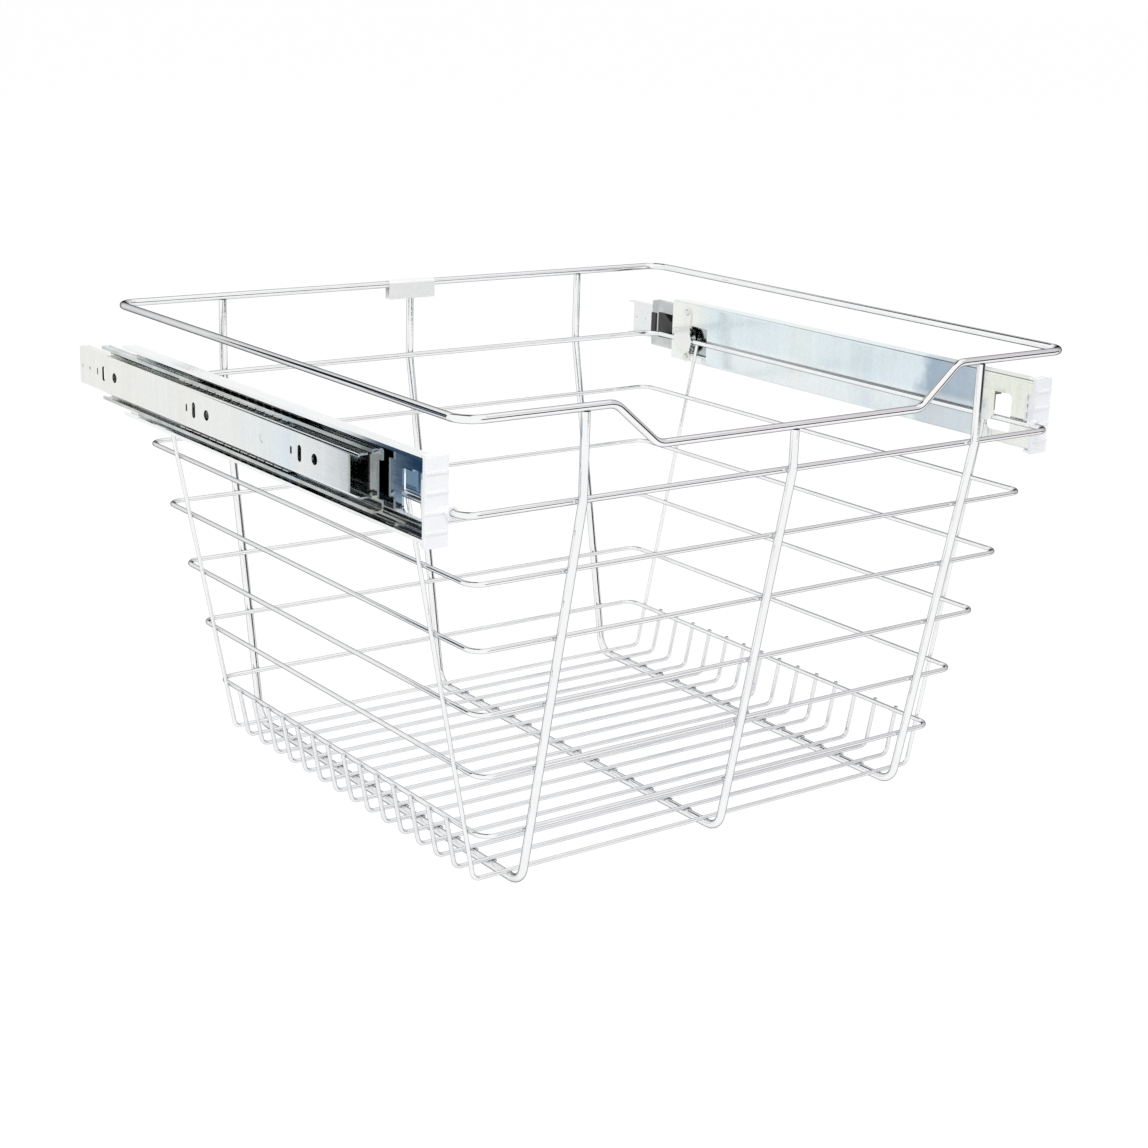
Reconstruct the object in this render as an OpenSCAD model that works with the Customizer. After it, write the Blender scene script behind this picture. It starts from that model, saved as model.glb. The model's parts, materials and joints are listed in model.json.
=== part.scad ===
// Pull-out wire basket on a pair of full-extension ball-bearing slides.
// Millimetres. +X right, +Y into the cabinet, +Z up. The basket's scooped
// front faces -Y. Origin: floor level, centre of the whole part as it stands
// here, with the slides drawn a little way out.

/* [Basket] */
// Overall height, floor to the top of the rim
basket_h = 285; // [280:1:330]
// Rim width, centre to centre of its side wires
rim_w = 436; // [434:1:446]
// Rim depth, centre to centre of its front and back wires
rim_depth = 400.6; // [384:0.2:420]
// How far the sides lean in for each millimetre of drop
lean = 0.2; // [0.12:0.01:0.22]
// Drop from the rim's wire to the support ring
support_drop = 49.75; // [48:0.25:54]
// Drop from one side ring to the next
ring_step = 39.25; // [34:0.25:39.5]

/* [Wires] */
// Diameter of the rim wire
rim_d = 4.6; // [4:0.1:5]
// Diameter of the support ring's wire
support_d = 3.6; // [3:0.1:4]
// Diameter of the side rings' wire
ring_d = 2.8; // [2.4:0.1:3.2]
// Diameter of the three heavy front-to-back wires
u_d = 5; // [4.4:0.1:5.6]
// Diameter of the floor wires
floor_d = 2.5; // [2:0.1:3]
// Depth that welded wires sink into each other
weld = 0.12; // [0.05:0.01:0.15]
// Corner radius of the rim
rim_corner_r = 12; // [8:1:16]
// Corner radius of the support ring and the side rings
ring_corner_r = 9; // [6:1:12]

/* [Front scoop] */
// Depth of the scoop in the front of the rim
scoop_depth = 24.2; // [16:0.2:30]
// Width of the scoop at the top
scoop_w = 250; // [220:1:256]
// Width that each end of the scoop takes to drop
scoop_run = 29; // [22:1:36]
// Bend radius of the scoop
scoop_r = 12; // [6:1:13]

/* [Heavy wires] */
// Distance from the centre wire to each side wire
u_spacing = 144; // [136:1:150]
// Bend radius at the support ring
knee_r = 14; // [8:1:24]
// Bend radius at the floor
foot_r = 12; // [8:1:14]

/* [Floor wires] */
// Spacing of the floor wires
floor_pitch = 19.05; // [17:0.05:19.2]
// Bend radius of the floor wires
floor_bend_r = 5; // [3:0.5:8]

/* [Rim plate] */
// Width of the plate over the rim's joint
plate_w = 36.5; // [24:0.5:50]
// Height of the plate's skirt below the rim wire's centre
plate_drop = 10.2; // [6:0.1:14]
// Thickness of the plate
plate_t = 0.6; // [0.4:0.1:1]

/* [Slides] */
// Width over the outer faces of the two cabinet rails
opening_w = 457; // [456:0.5:460]
// Length of the slide
slide_l = 355.6; // [340:0.2:356]
// How far the slide's middle stands ahead of the basket's
slide_ahead = 2.5; // [0:0.5:3]
// How far the slides are drawn out as the part stands
drawn_out = 62; // [40:0.5:80]
// Height of the basket channel
slide_h = 44; // [43:0.5:46]
// Thickness of the closed slide
slide_t = 12.7; // [12.7:0.1:13.5]
// Height of the slide's centre above the support ring
slide_lift = 5.5; // [4:0.5:7]
// Sheet thickness of the three members
sheet = 1.2; // [1:0.1:1.3]
// Running gap at the ends of the members when the slide is shut
end_gap = 1; // [0.6:0.1:2]
// How far the middle member stops short of the shut slide's front end
middle_short = 19.8; // [12:0.2:24]
// Reach of the basket channel's flanges from its web
channel_reach = 10.6; // [10.4:0.1:11]
// Reach of the middle member's flanges from the channel's web
middle_reach = 11.4; // [11.2:0.1:12]
// Set-back of the middle member's web from the channel's web
middle_set = 4.2; // [4:0.1:4.2]
// Reach of the cabinet rail's flanges from its outer face
rail_reach = 6.1; // [5.8:0.1:6.1]
// Height of the flange lips that keep the balls in
lip = 1; // [0.6:0.1:1]
// Outer radius of the members' bends
bend_r = 2; // [1.6:0.1:2.4]
// Depth of the notch in the rail's front end
rail_notch = 9.6; // [4:0.2:12]
// Depth of the notch in the middle member's front end
nose_notch = 4.6; // [2:0.2:6]
// Height of the notch in the middle member's front end
nose_h = 21; // [16:0.5:24]
// Length of the window near the middle member's rear end
rear_slot_l = 29; // [24:0.5:34]
// Height of that window
rear_slot_h = 18.5; // [14:0.5:19]
// Width of the bar behind that window
window_bar = 3.4; // [2:0.1:4]
// Depth of the notch in the middle member's rear end
tail_notch = 5.2; // [4:0.1:7]
// Height of the notch in the middle member's rear end
tail_h = 16; // [12:0.5:18]
// Length of the black bumper that fills the notch and part of the window
bumper_l = 27; // [22:0.5:30]
// Height of the bumper's nose
bumper_nose_h = 8; // [6:0.5:12]
// How far the bumper stands proud of the middle member's web
bumper_rise = 0.8; // [0.4:0.1:1]
// Thickness of the bumper's plate
bumper_t = 3; // [2:0.1:4]
// How far the plate laps over the window's edges
bumper_lip = 1; // [0.5:0.1:1.4]

/* [Balls and cages] */
// Diameter of the bearing balls
ball_d = 3.9; // [3.7:0.1:4]
// Depth of the grooves that the balls run in
groove = 0.4; // [0.3:0.05:0.5]
// Running gap between a ball and its groove
ball_gap = 0.25; // [0.2:0.01:0.3]
// Distance of the outer balls from the channel's web
outer_ball_u = 7.3; // [7.1:0.1:7.4]
// Distance of the inner balls from the channel's web
inner_ball_u = 8.1; // [8:0.1:8.2]
// Length of each ball cage
cage_l = 134; // [110:1:136]
// Spacing of the balls along a cage
ball_pitch = 10; // [8:0.5:14]
// Sheet thickness of the ball cages
cage_t = 0.5; // [0.4:0.05:0.5]
// Gap round a ball in its cage
cage_gap = 0.15; // [0.1:0.01:0.2]
// Side gap between a cage and the web next to it
cage_side_gap = 0.45; // [0.4:0.01:0.45]
// How far the inner cage stands ahead of the middle of its travel
inner_cage_ahead = 14.5; // [0:0.5:17]

/* [Rail holes] */
// Distance from the rail's front end to its first screw hole
first_hole = 45.5; // [42:0.5:47]
// Spacing of the groups of holes
hole_pitch = 128; // [120:1:128]
// Diameter of the round screw holes
screw_hole_d = 6.3; // [4:0.1:6.8]
// Distance from a screw hole to the upright slot behind it
slot_offset = 16.5; // [12:0.5:20]
// Width of the upright slots
slot_w = 4; // [3:0.1:5]
// Length of the upright slots
slot_l = 9.5; // [7:0.1:12]
// Distance from a screw hole to the short slot behind it
short_slot_offset = 26; // [24:0.5:32]
// Width of the short slots
short_slot_w = 2; // [1.6:0.1:2.6]
// Length of the short slots
short_slot_l = 4.6; // [3.6:0.1:6]
// Diameter of the two small holes at the rail's rear end
end_hole_d = 2.4; // [1.8:0.1:3]
// Distance from the rail's rear end to the rearmost small hole
end_hole_set = 4.5; // [3:0.1:6]
// Spacing of the two small holes
end_hole_pitch = 11; // [6:0.1:12]
// Diameter of the dimple halfway along the rail
dimple_d = 5; // [4:0.5:6]
// Depth of the dimple
dimple_depth = 0.5; // [0.2:0.1:0.6]
// Distance from a screw hole to the dimple behind it
dimple_offset = 60; // [50:1:70]

/* [Basket channel] */
// Distance from the channel's front end to the middle of the front window
front_window_set = 27.5; // [26:0.5:30]
// Width of the front window
front_window_w = 20; // [16:0.5:21]
// Height of the front window
front_window_h = 24.5; // [20:0.5:26]
// How far the front window's middle lies below the slide's
front_window_drop = 2; // [0:0.5:3]
// Corner radius of the front window
window_r = 3; // [1:0.5:4]
// Distance from the channel's rear end to the middle of the rear window
rear_window_set = 31; // [29:0.5:36]
// Width of the rear window
rear_window_w = 19; // [12:0.5:20]
// Height of the rear window
rear_window_h = 22; // [14:0.5:24]
// Distance from the channel's front end to the tab's front edge
tab_set = 27.5; // [26:0.5:29]
// Length of the tab that hooks over the support ring
tab_l = 14.5; // [10:0.5:15]
// Height of the tab
tab_h = 18.2; // [17:0.1:18.2]
// Corner radius of the tab's front edge
tab_r = 7; // [3:0.5:7]

/* [Saddles and clips] */
// Distance from the channel's rear end to the saddle's centre
saddle_set = 18; // [16:0.5:19]
// Radius of the saddle's round crown
saddle_r = 10; // [8:0.5:10.5]
// Sheet thickness of the saddle
saddle_t = 1; // [0.8:0.1:1.2]
// Width of the saddle's ears
ear_w = 8; // [7:0.5:10]
// Height of the top screw above the support ring
ear_up = 20.5; // [16:0.5:21]
// Distance of the bottom screw below the support ring
ear_down = 12.4; // [12.1:0.1:12.5]
// Diameter of the saddle screws
saddle_screw_d = 3; // [2.5:0.1:3.4]
// Diameter of the saddle screws' heads
screw_head_d = 5; // [4:0.1:6]
// Height of the saddle screws' heads
screw_head_h = 1.6; // [1:0.1:2]
// Diameter of the flat on top of a screw's head
screw_top_d = 3.5; // [2:0.1:3.8]
// Clearance round a wire or screw that passes through a piece
fit_gap = 0.05; // [0.03:0.01:0.1]
// Thickness of the front clip's face
clip_t = 2.4; // [2:0.1:4]
// How far the clip stands above and below the channel
clip_over = 1.6; // [1:0.1:3]
// Length of the clip's prongs along the channel
prong_l = 5; // [3:0.5:8]
// Thickness of the clip's flange on the inside of the channel's web
flange_t = 1.2; // [0.8:0.1:2]
// Length of that flange
flange_l = 5.5; // [4:0.5:8]
// Height of that flange
flange_h = 18; // [17:0.5:20]
// How far the flange's middle stands above the slide's
flange_lift = 4; // [2:0.5:5]
// Spacing of the flange's small windows
flange_pitch = 5.6; // [4.5:0.1:6]
// Height of the flange's small windows
flange_window_h = 3.6; // [2:0.1:4]
// How far the small windows' middle stands above the flange's
flange_window_set = 1.5; // [0:0.5:1.5]
// Length of the clip's tongue inside the channel
tongue_l = 16; // [10:0.5:17]
// Height of that tongue
tongue_h = 19; // [12:0.5:20]
// Thickness of that tongue
tongue_t = 2; // [1.2:0.1:2.2]
// Wall of the clip's hook round the support ring
hook_wall = 1.6; // [1.2:0.1:2]
// Length of the hook ahead of the channel
hook_l = 5.6; // [4.2:0.1:6.2]
// Opening in the side of the hook
hook_mouth = 2.4; // [1.6:0.1:3]
// Number of ribs across the clip's face
clip_ribs = 4; // [2:1:5]
// Spacing of the ribs
rib_pitch = 10.3; // [6:0.1:10.5]
// Width of a rib
rib_w = 1.4; // [0.8:0.1:2]
// How far a rib stands proud of the face
rib_rise = 0.6; // [0.3:0.1:1]

/* [Hidden] */
$fn = 28;
// Extra diameter of the balls that join a wire's bends to its straights
joint_swell = 0.04;
// Number of side rings below the support ring
side_rings = 5;
// Number of short floor wires between the two tall wires
floor_wires = 14;
// How far a cutting shape runs past the sheet that it cuts
past = 1;

left = -1;
right = 1;
chrome = [0.86, 0.87, 0.88];
zinc = [0.72, 0.76, 0.74];
dark_zinc = [0.55, 0.6, 0.6];
clip_white = [0.9, 0.92, 0.97];
bumper_black = [0.1, 0.1, 0.12];

// Heights of the wires' centres
rim_z = basket_h - rim_d / 2;
support_z = rim_z - support_drop;
slide_z = support_z + slide_lift;
floor_z = u_d + floor_d / 2 - weld;
u_floor_z = u_d / 2;

// A leaning wire is wider than its diameter along a level line by this factor
lean_factor = sqrt(1 + lean * lean);

// Slides: the channel's web lies against the support ring's side wire
web_x = opening_w / 2 - slide_t;
support_x = web_x - support_d / 2 - fit_gap;

// Half width and half depth of the wires' centres at height z. The rings'
// are rounded to a hundredth, so that their bends meet their straights.
function round_off(v) = round(v * 100) / 100;
function u_y(z) = rim_depth / 2 - lean * max(0, support_z - z);
function upright_x(z) = support_x - lean * (support_z - z);
function ring_x(z) = round_off(upright_x(z) - (floor_d + ring_d) / 2 * lean_factor + weld);
function ring_y(z) = round_off(u_y(z) - (u_d + ring_d) / 2 * lean_factor + weld);
support_y = round_off(rim_depth / 2 - (u_d + support_d) / 2 + weld);
function ring_z(i) = support_z - i * ring_step;
last_ring_z = ring_z(side_rings);

// Stations along the slides, with the basket's centre at y = 0
channel_front = -slide_l / 2 - slide_ahead;
channel_rear = slide_l / 2 - slide_ahead;
middle_front = channel_front + drawn_out / 2 + middle_short;
middle_rear = channel_rear + drawn_out / 2 - end_gap;
rail_front = channel_front + drawn_out + end_gap;
rail_rear = channel_rear + drawn_out;
outer_cage_y = drawn_out / 4 - slide_ahead;
inner_cage_y = 3 * drawn_out / 4 - slide_ahead - inner_cage_ahead;

// Half heights of the members and of the rows of balls
ball_drop = ball_d / 2 + ball_gap - groove;
outer_ball_z = slide_h / 2 - sheet - ball_drop;
middle_z = outer_ball_z - ball_drop;
inner_ball_z = middle_z - sheet - ball_drop;
rail_z = inner_ball_z - ball_drop;
race_r = ball_d / 2 + ball_gap;

// The part's own frame is centred on the whole part as it stands
front_y = -rim_depth / 2 - u_d / 2;
frame_y = (rail_rear + front_y) / 2;

saddle_y = channel_rear - saddle_set;
ball_count = floor((cage_l - ball_d - 2) / ball_pitch) + 1;

// ---------- wires ----------

function unit(v) = v / norm(v);
function leg(p, i) = unit(p[(i + 1) % len(p)] - p[i]);
function turn(p, i) = acos(leg(p, (i + len(p) - 1) % len(p)) * leg(p, i));

// Stands what is drawn along +z at point p, along direction v instead
module aim(p, v) {
  translate(p) rotate([0, acos(v.z / norm(v)), atan2(v.y, v.x)]) children();
}

// Straight length of wire from a to b
module rod(a, b, d) {
  aim(a, b - a) cylinder(d = d, h = norm(b - a));
}

// Bend of radius r at corner p, from direction a to direction b
module bend(p, a, b, d, r) {
  angle = acos(a * b);
  n = unit(cross(a, b));
  x = cross(a, n);
  c = p - a * (r * tan(angle / 2)) - x * r;
  multmatrix([
    [x.x, a.x, n.x, c.x],
    [x.y, a.y, n.y, c.y],
    [x.z, a.z, n.z, c.z],
    [0, 0, 0, 1]
  ])
    rotate_extrude(angle = angle)
      translate([r, 0])
        circle(d = d);
}

// Wire of diameter d through the corners p, each bent to its radius in r.
// At bends that aren't square, a ball a hair wider than the wire joins the
// bend to its straights.
module wire(p, r, d, closed = false) {
  n = len(p);
  function cut(i) = (closed || (i > 0 && i < n - 1)) ? r[i] * tan(turn(p, i) / 2) : 0;
  for (i = [0 : closed ? n - 1 : n - 2]) {
    j = (i + 1) % n;
    rod(p[i] + leg(p, i) * cut(i), p[j] - leg(p, i) * cut(j), d);
  }
  for (i = [closed ? 0 : 1 : closed ? n - 1 : n - 2]) {
    before = leg(p, (i + n - 1) % n);
    after = leg(p, i);
    bend(p[i], before, after, d, r[i]);
    if (abs(turn(p, i) - 90) > 0.01) {
      aim(p[i] - before * cut(i), before) sphere(d = d + joint_swell);
      aim(p[i] + after * cut(i), after) sphere(d = d + joint_swell);
    }
  }
}

// Moves what is laid out about the basket's centre into the part's frame
module placed() {
  translate([0, -frame_y, 0]) children();
}

module ring(x, y, z, d, r) {
  wire([[-x, -y, z], [x, -y, z], [x, y, z], [-x, y, z]], [r, r, r, r], d, closed = true);
}

module top_rim() {
  x = rim_w / 2;
  y = rim_depth / 2;
  s = scoop_w / 2;
  low = rim_z - scoop_depth;
  c = rim_corner_r;
  color(chrome) placed()
    wire([
      [-x, -y, rim_z], [-s, -y, rim_z], [-s + scoop_run, -y, low],
      [s - scoop_run, -y, low], [s, -y, rim_z], [x, -y, rim_z],
      [x, y, rim_z], [-x, y, rim_z]
    ], [c, scoop_r, scoop_r, scoop_r, scoop_r, c, c, c], rim_d, closed = true);
}

// Thin plate folded over the back of the rim, where the rim's ends meet
module rim_plate() {
  r = rim_d / 2 + fit_gap;
  color(chrome) placed()
    translate([-plate_w / 2, rim_depth / 2, rim_z])
      rotate([90, 0, 90])
        linear_extrude(plate_w) {
          difference() {
            circle(r + plate_t);
            circle(r);
            translate([-2 * r, -2 * r]) square([4 * r, 2 * r]);
          }
          for (side = [-r - plate_t, r])
            translate([side, -plate_drop]) square([plate_t, plate_drop]);
        }
}

module support_ring() {
  color(chrome) placed()
    ring(support_x, support_y, support_z, support_d, ring_corner_r);
}

module side_ring(i) {
  z = ring_z(i);
  color(chrome) placed()
    ring(ring_x(z), ring_y(z), z, ring_d, ring_corner_r);
}

// Heavy wire: up under the rim at both ends, with its run along the floor
module u_wire(x, front_drop = 0) {
  top = rim_z - rim_d / 2 + weld;
  y_top = u_y(support_z);
  y_foot = u_y(u_floor_z);
  color(chrome) placed()
    wire([
      [x, -y_top, top - front_drop], [x, -y_top, support_z],
      [x, -y_foot, u_floor_z], [x, y_foot, u_floor_z],
      [x, y_top, support_z], [x, y_top, top]
    ], [0, knee_r, foot_r, foot_r, knee_r, 0], u_d);
}

// Wire across the floor whose ends lean up the sides as far as height top
module cross_wire(y, top) {
  x_foot = upright_x(floor_z);
  x_top = upright_x(top);
  color(chrome) placed()
    wire([
      [-x_top, y, top], [-x_foot, y, floor_z], [x_foot, y, floor_z], [x_top, y, top]
    ], [0, floor_bend_r, floor_bend_r, 0], floor_d);
}

// Short floor wires end level with the top of the lowest ring
module floor_wire(i) {
  cross_wire((i - (floor_wires + 1) / 2) * floor_pitch, last_ring_z + ring_d / 2);
}

// The outermost floor wires run on up to the support ring
module tall_wire(side) {
  cross_wire(side * (floor_wires + 1) / 2 * floor_pitch, support_z - support_d / 2 + weld);
}

// ---------- slides ----------

// Slide coordinates: x out from the channel's web, z from the slide's centre
module on_slide(side) {
  placed()
    mirror([side == left ? 1 : 0, 0, 0])
      translate([web_x, 0, slide_z])
        children();
}

// Extrudes a cross-section in x and z from y0 to y1
module along(y0, y1) {
  translate([0, y1, 0]) rotate([90, 0, 0]) linear_extrude(y1 - y0) children();
}

// Upper and lower copies
module both() {
  children();
  mirror([0, 1]) children();
}

// C-shaped cross-section with round bends, web at x = 0, open towards +x.
// Each flange ends in a lip that stands lip_h inwards.
module c_section(reach, half, lip_h = 0) {
  r = bend_r;
  difference() {
    translate([0, -half]) square([reach, 2 * half]);
    both() {
      translate([0, half - r])
        difference() {
          translate([-past, 0]) square(r + past);
          translate([r, 0]) circle(r);
        }
      translate([r, half - r]) circle(r - sheet);
    }
    translate([sheet, -half + r]) square([reach, 2 * (half - r)]);
    translate([r, -half + sheet]) square([reach - sheet - r, 2 * (half - sheet)]);
    translate([r, -half + sheet + lip_h]) square([reach, 2 * (half - sheet - lip_h)]);
  }
}

// Grooves for the rows of balls at (u, z)
module races(u, z) {
  both() translate([u, z]) circle(race_r);
}

// Cuts a window of size w by h through a web whose inner face is at x
module window(x, y, z, w, h) {
  translate([x - past, y - w / 2, z - h / 2])
    cube([sheet + 2 * past, w, h]);
}

// Cuts a round hole along +x through a web whose inner face is at x
module hole(x, y, z, d) {
  translate([x - past, y, z])
    rotate([0, 90, 0]) cylinder(d = d, h = sheet + 2 * past);
}

// Cuts an upright slot with round ends through a web whose inner face is at x
module slot(x, y, z, w, l) {
  translate([x - past, y, z])
    rotate([0, 90, 0])
      linear_extrude(sheet + 2 * past) {
        square([l - w, w], center = true);
        for (s = [-1, 1]) translate([s * (l - w) / 2, 0]) circle(d = w);
      }
}

// Stands a shape drawn in z and y upright, from u0 to u1
module upright(u0, u1) {
  translate([u0, 0, 0])
    rotate([0, 90, 0]) linear_extrude(u1 - u0) children();
}

// Rectangle with rounded corners, centred
module rounded(h, w, r) {
  hull()
    for (a = [-1, 1], b = [-1, 1])
      translate([a * (h / 2 - r), b * (w / 2 - r)]) circle(r);
}

// Tab lanced from the channel's web and bent over the support ring's wire. Its
// root is along the top edge of the front window.
module keeper_tab() {
  top = front_window_h / 2 - front_window_drop;
  low = top - tab_h;
  stand = support_d + 2 * fit_gap;
  translate([0, channel_front + tab_set, 0]) {
    translate([-stand - sheet, 0, top - sheet])
      cube([stand + 2 * sheet, tab_l, 2 * sheet]);
    upright(-stand - sheet, -stand)
      hull() {
        translate([-top, 0]) square([sheet, tab_l]);
        translate([-low - tab_r, tab_r]) circle(tab_r);
        translate([-low - sheet, tab_l - sheet]) square(sheet);
      }
  }
}

module basket_channel(side) {
  color(zinc) on_slide(side)
    union() {
      difference() {
        along(channel_front, channel_rear)
          difference() {
            c_section(channel_reach, slide_h / 2, lip);
            races(outer_ball_u, outer_ball_z);
          }
        translate([0, channel_front + front_window_set, -front_window_drop])
          upright(-past, sheet + past) rounded(front_window_h, front_window_w, window_r);
        window(0, channel_rear - rear_window_set, -slide_lift, rear_window_w, rear_window_h);
        for (dz = [ear_up, -ear_down])
          hole(0, saddle_y, dz - slide_lift, saddle_screw_d + 2 * fit_gap);
      }
      keeper_tab();
    }
}

module middle_member(side) {
  slot_rear = middle_rear - tail_notch - window_bar;
  color(dark_zinc) on_slide(side)
    difference() {
      along(middle_front, middle_rear)
        difference() {
          translate([middle_set, 0])
            c_section(middle_reach - middle_set, middle_z, lip);
          races(outer_ball_u, outer_ball_z);
          races(inner_ball_u, inner_ball_z);
        }
      window(middle_set, middle_front, 0, 2 * nose_notch, nose_h);
      window(middle_set, slot_rear - rear_slot_l / 2, 0, rear_slot_l, rear_slot_h);
      window(middle_set, middle_rear, 0, 2 * tail_notch, tail_h);
    }
}

// Black bumper in the middle member's rear end: it fills the notch and part of
// the window, and a plate outside the web joins the two
module bumper(side) {
  slot_rear = middle_rear - tail_notch - window_bar;
  inner = middle_set - bumper_rise;
  outer = middle_set + sheet + fit_gap;
  half = rear_slot_h / 2 - fit_gap;
  front = middle_rear - bumper_l;
  color(bumper_black) on_slide(side) {
    upright(inner, outer + bumper_rise)
      polygon([
        [-half, slot_rear - fit_gap], [-half, slot_rear - rear_slot_l / 4],
        [-bumper_nose_h / 2, slot_rear - rear_slot_l / 2], [-bumper_nose_h / 2, front],
        [bumper_nose_h / 2, front], [bumper_nose_h / 2, slot_rear - rear_slot_l / 2],
        [half, slot_rear - rear_slot_l / 4], [half, slot_rear - fit_gap]
      ]);
    upright(inner, outer + bumper_rise)
      translate([-tail_h / 2 + fit_gap, middle_rear - tail_notch + fit_gap])
        square([tail_h - 2 * fit_gap, tail_notch - fit_gap]);
    upright(outer, outer + bumper_t)
      translate([-half - bumper_lip, slot_rear - rear_slot_l / 4])
        square([2 * (half + bumper_lip), middle_rear - slot_rear + rear_slot_l / 4]);
  }
}

module cabinet_rail(side) {
  web = slide_t - sheet;
  flat_h = 2 * (rail_z - bend_r);
  color(zinc) on_slide(side)
    difference() {
      along(rail_front, rail_rear)
        difference() {
          translate([slide_t, 0]) mirror([1, 0]) c_section(rail_reach, rail_z);
          races(inner_ball_u, inner_ball_z);
        }
      window(web, rail_front, 0, 2 * rail_notch, flat_h);
      for (i = [0 : 2]) {
        y = rail_front + first_hole + i * hole_pitch;
        hole(web, y, 0, screw_hole_d);
        slot(web, y + slot_offset, 0, slot_w, slot_l);
        slot(web, y + short_slot_offset, 0, short_slot_w, short_slot_l);
      }
      for (set = [0, end_hole_pitch])
        hole(web, rail_rear - end_hole_set - set, 0, end_hole_d);
      translate([slide_t - dimple_depth, rail_front + first_hole + dimple_offset, 0])
        rotate([0, 90, 0]) cylinder(d = dimple_d, h = dimple_depth + past);
    }
}

// U-shaped cage: a web at u with two arms that hold rows of balls
module cage(side, u, ball_u, z, y) {
  color(dark_zinc) on_slide(side)
    difference() {
      along(y - cage_l / 2, y + cage_l / 2)
        difference() {
          translate([u, -z - cage_t / 2])
            square([ball_u + ball_d / 2 - u, 2 * z + cage_t]);
          translate([u + cage_t, -z + cage_t / 2])
            square([ball_u + ball_d / 2, 2 * z - cage_t]);
        }
      for (i = [0 : ball_count - 1])
        translate([ball_u, y + ball_offset(i), -z - 1])
          cylinder(d = ball_d + 2 * cage_gap, h = 2 * z + 2);
    }
}

function ball_offset(i) = (i - (ball_count - 1) / 2) * ball_pitch;

module balls(side, ball_u, z, y) {
  color(chrome) on_slide(side)
    for (i = [0 : ball_count - 1], s = [-1, 1])
      translate([ball_u, y + ball_offset(i), s * z]) sphere(d = ball_d);
}

module outer_cage(side) {
  cage(side, sheet + cage_side_gap, outer_ball_u, outer_ball_z, outer_cage_y);
}

module inner_cage(side) {
  cage(side, middle_set + sheet + cage_side_gap, inner_ball_u, inner_ball_z, inner_cage_y);
}

module outer_balls(side) {
  balls(side, outer_ball_u, outer_ball_z, outer_cage_y);
}

module inner_balls(side) {
  balls(side, inner_ball_u, inner_ball_z, inner_cage_y);
}

// Plastic clip on the front end of the channel, with a ribbed face, a flange
// inside the web and a hook round the support ring
module front_clip(side) {
  half = slide_h / 2 + clip_over;
  hook_r = support_d / 2 + hook_wall;
  wire_x = support_x - web_x;
  color(clip_white) on_slide(side)
    difference() {
      union() {
        translate([-flange_t, channel_front - clip_t, -half])
          cube([slide_t + flange_t, clip_t, 2 * half]);
        for (s = [-1, 1])
          translate([0, channel_front - clip_t, s * (slide_h + clip_over) / 2 - clip_over / 2])
            cube([channel_reach, clip_t + prong_l, clip_over]);
        translate([-flange_t, channel_front - clip_t, flange_lift - flange_h / 2])
          cube([flange_t, clip_t + flange_l, flange_h]);
        translate([sheet + fit_gap, channel_front - clip_t, -front_window_drop - tongue_h / 2])
          cube([tongue_t, clip_t + tongue_l, tongue_h]);
        for (i = [0 : clip_ribs - 1])
          translate([
            -flange_t,
            channel_front - clip_t - rib_rise,
            (i - (clip_ribs - 1) / 2) * rib_pitch - rib_w / 2
          ])
            cube([slide_t + flange_t, rib_rise + clip_t, rib_w]);
        translate([wire_x, channel_front, -slide_lift])
          rotate([90, 0, 0]) cylinder(r = hook_r, h = hook_l);
      }
      translate([wire_x, channel_front + flange_l + past, -slide_lift])
        rotate([90, 0, 0]) cylinder(d = support_d + 4 * fit_gap, h = hook_l + flange_l + 2 * past);
      translate([wire_x - hook_r - past, channel_front - hook_l - past, -slide_lift - hook_mouth / 2])
        cube([hook_r + past, hook_l + flange_l + 2 * past, hook_mouth]);
      for (i = [-1 : 1])
        translate([
          -flange_t - past,
          channel_front + flange_l / 2,
          flange_lift + flange_window_set + i * flange_pitch - flange_window_h / 2
        ])
          cube([flange_t + 2 * past, flange_l / 2 - flange_t, flange_window_h]);
    }
}

// Pressed saddle that holds the support ring against the channel's web
module rear_saddle(side) {
  slot_d = support_d + 2 * fit_gap;
  rise = slot_d + saddle_t;
  color(zinc) on_slide(side)
    translate([0, saddle_y, -slide_lift])
      difference() {
        union() {
          rotate([0, -90, 0]) cylinder(r = saddle_r, h = rise);
          translate([-saddle_t, -ear_w / 2, -ear_down]) cube([saddle_t, ear_w, ear_up + ear_down]);
          for (dz = [ear_up, -ear_down])
            translate([-saddle_t, 0, dz]) rotate([0, 90, 0]) cylinder(d = ear_w, h = saddle_t);
        }
        translate([past, 0, 0])
          rotate([0, -90, 0]) cylinder(r = saddle_r - saddle_t, h = slot_d + past);
        translate([-slot_d, -saddle_r - past, -slot_d / 2 - fit_gap])
          cube([slot_d + past, 2 * (saddle_r + past), slot_d + 2 * fit_gap]);
        for (dz = [ear_up, -ear_down])
          translate([-saddle_t - past, 0, dz])
            rotate([0, 90, 0]) cylinder(d = saddle_screw_d + 2 * fit_gap, h = saddle_t + 2 * past);
      }
}

module saddle_screws(side) {
  color(dark_zinc) on_slide(side)
    for (dz = [ear_up, -ear_down])
      translate([-saddle_t, saddle_y, dz - slide_lift]) {
        rotate([0, 90, 0]) cylinder(d = saddle_screw_d, h = saddle_t + sheet);
        rotate([0, -90, 0]) cylinder(d1 = screw_head_d, d2 = screw_top_d, h = screw_head_h);
      }
}

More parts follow.
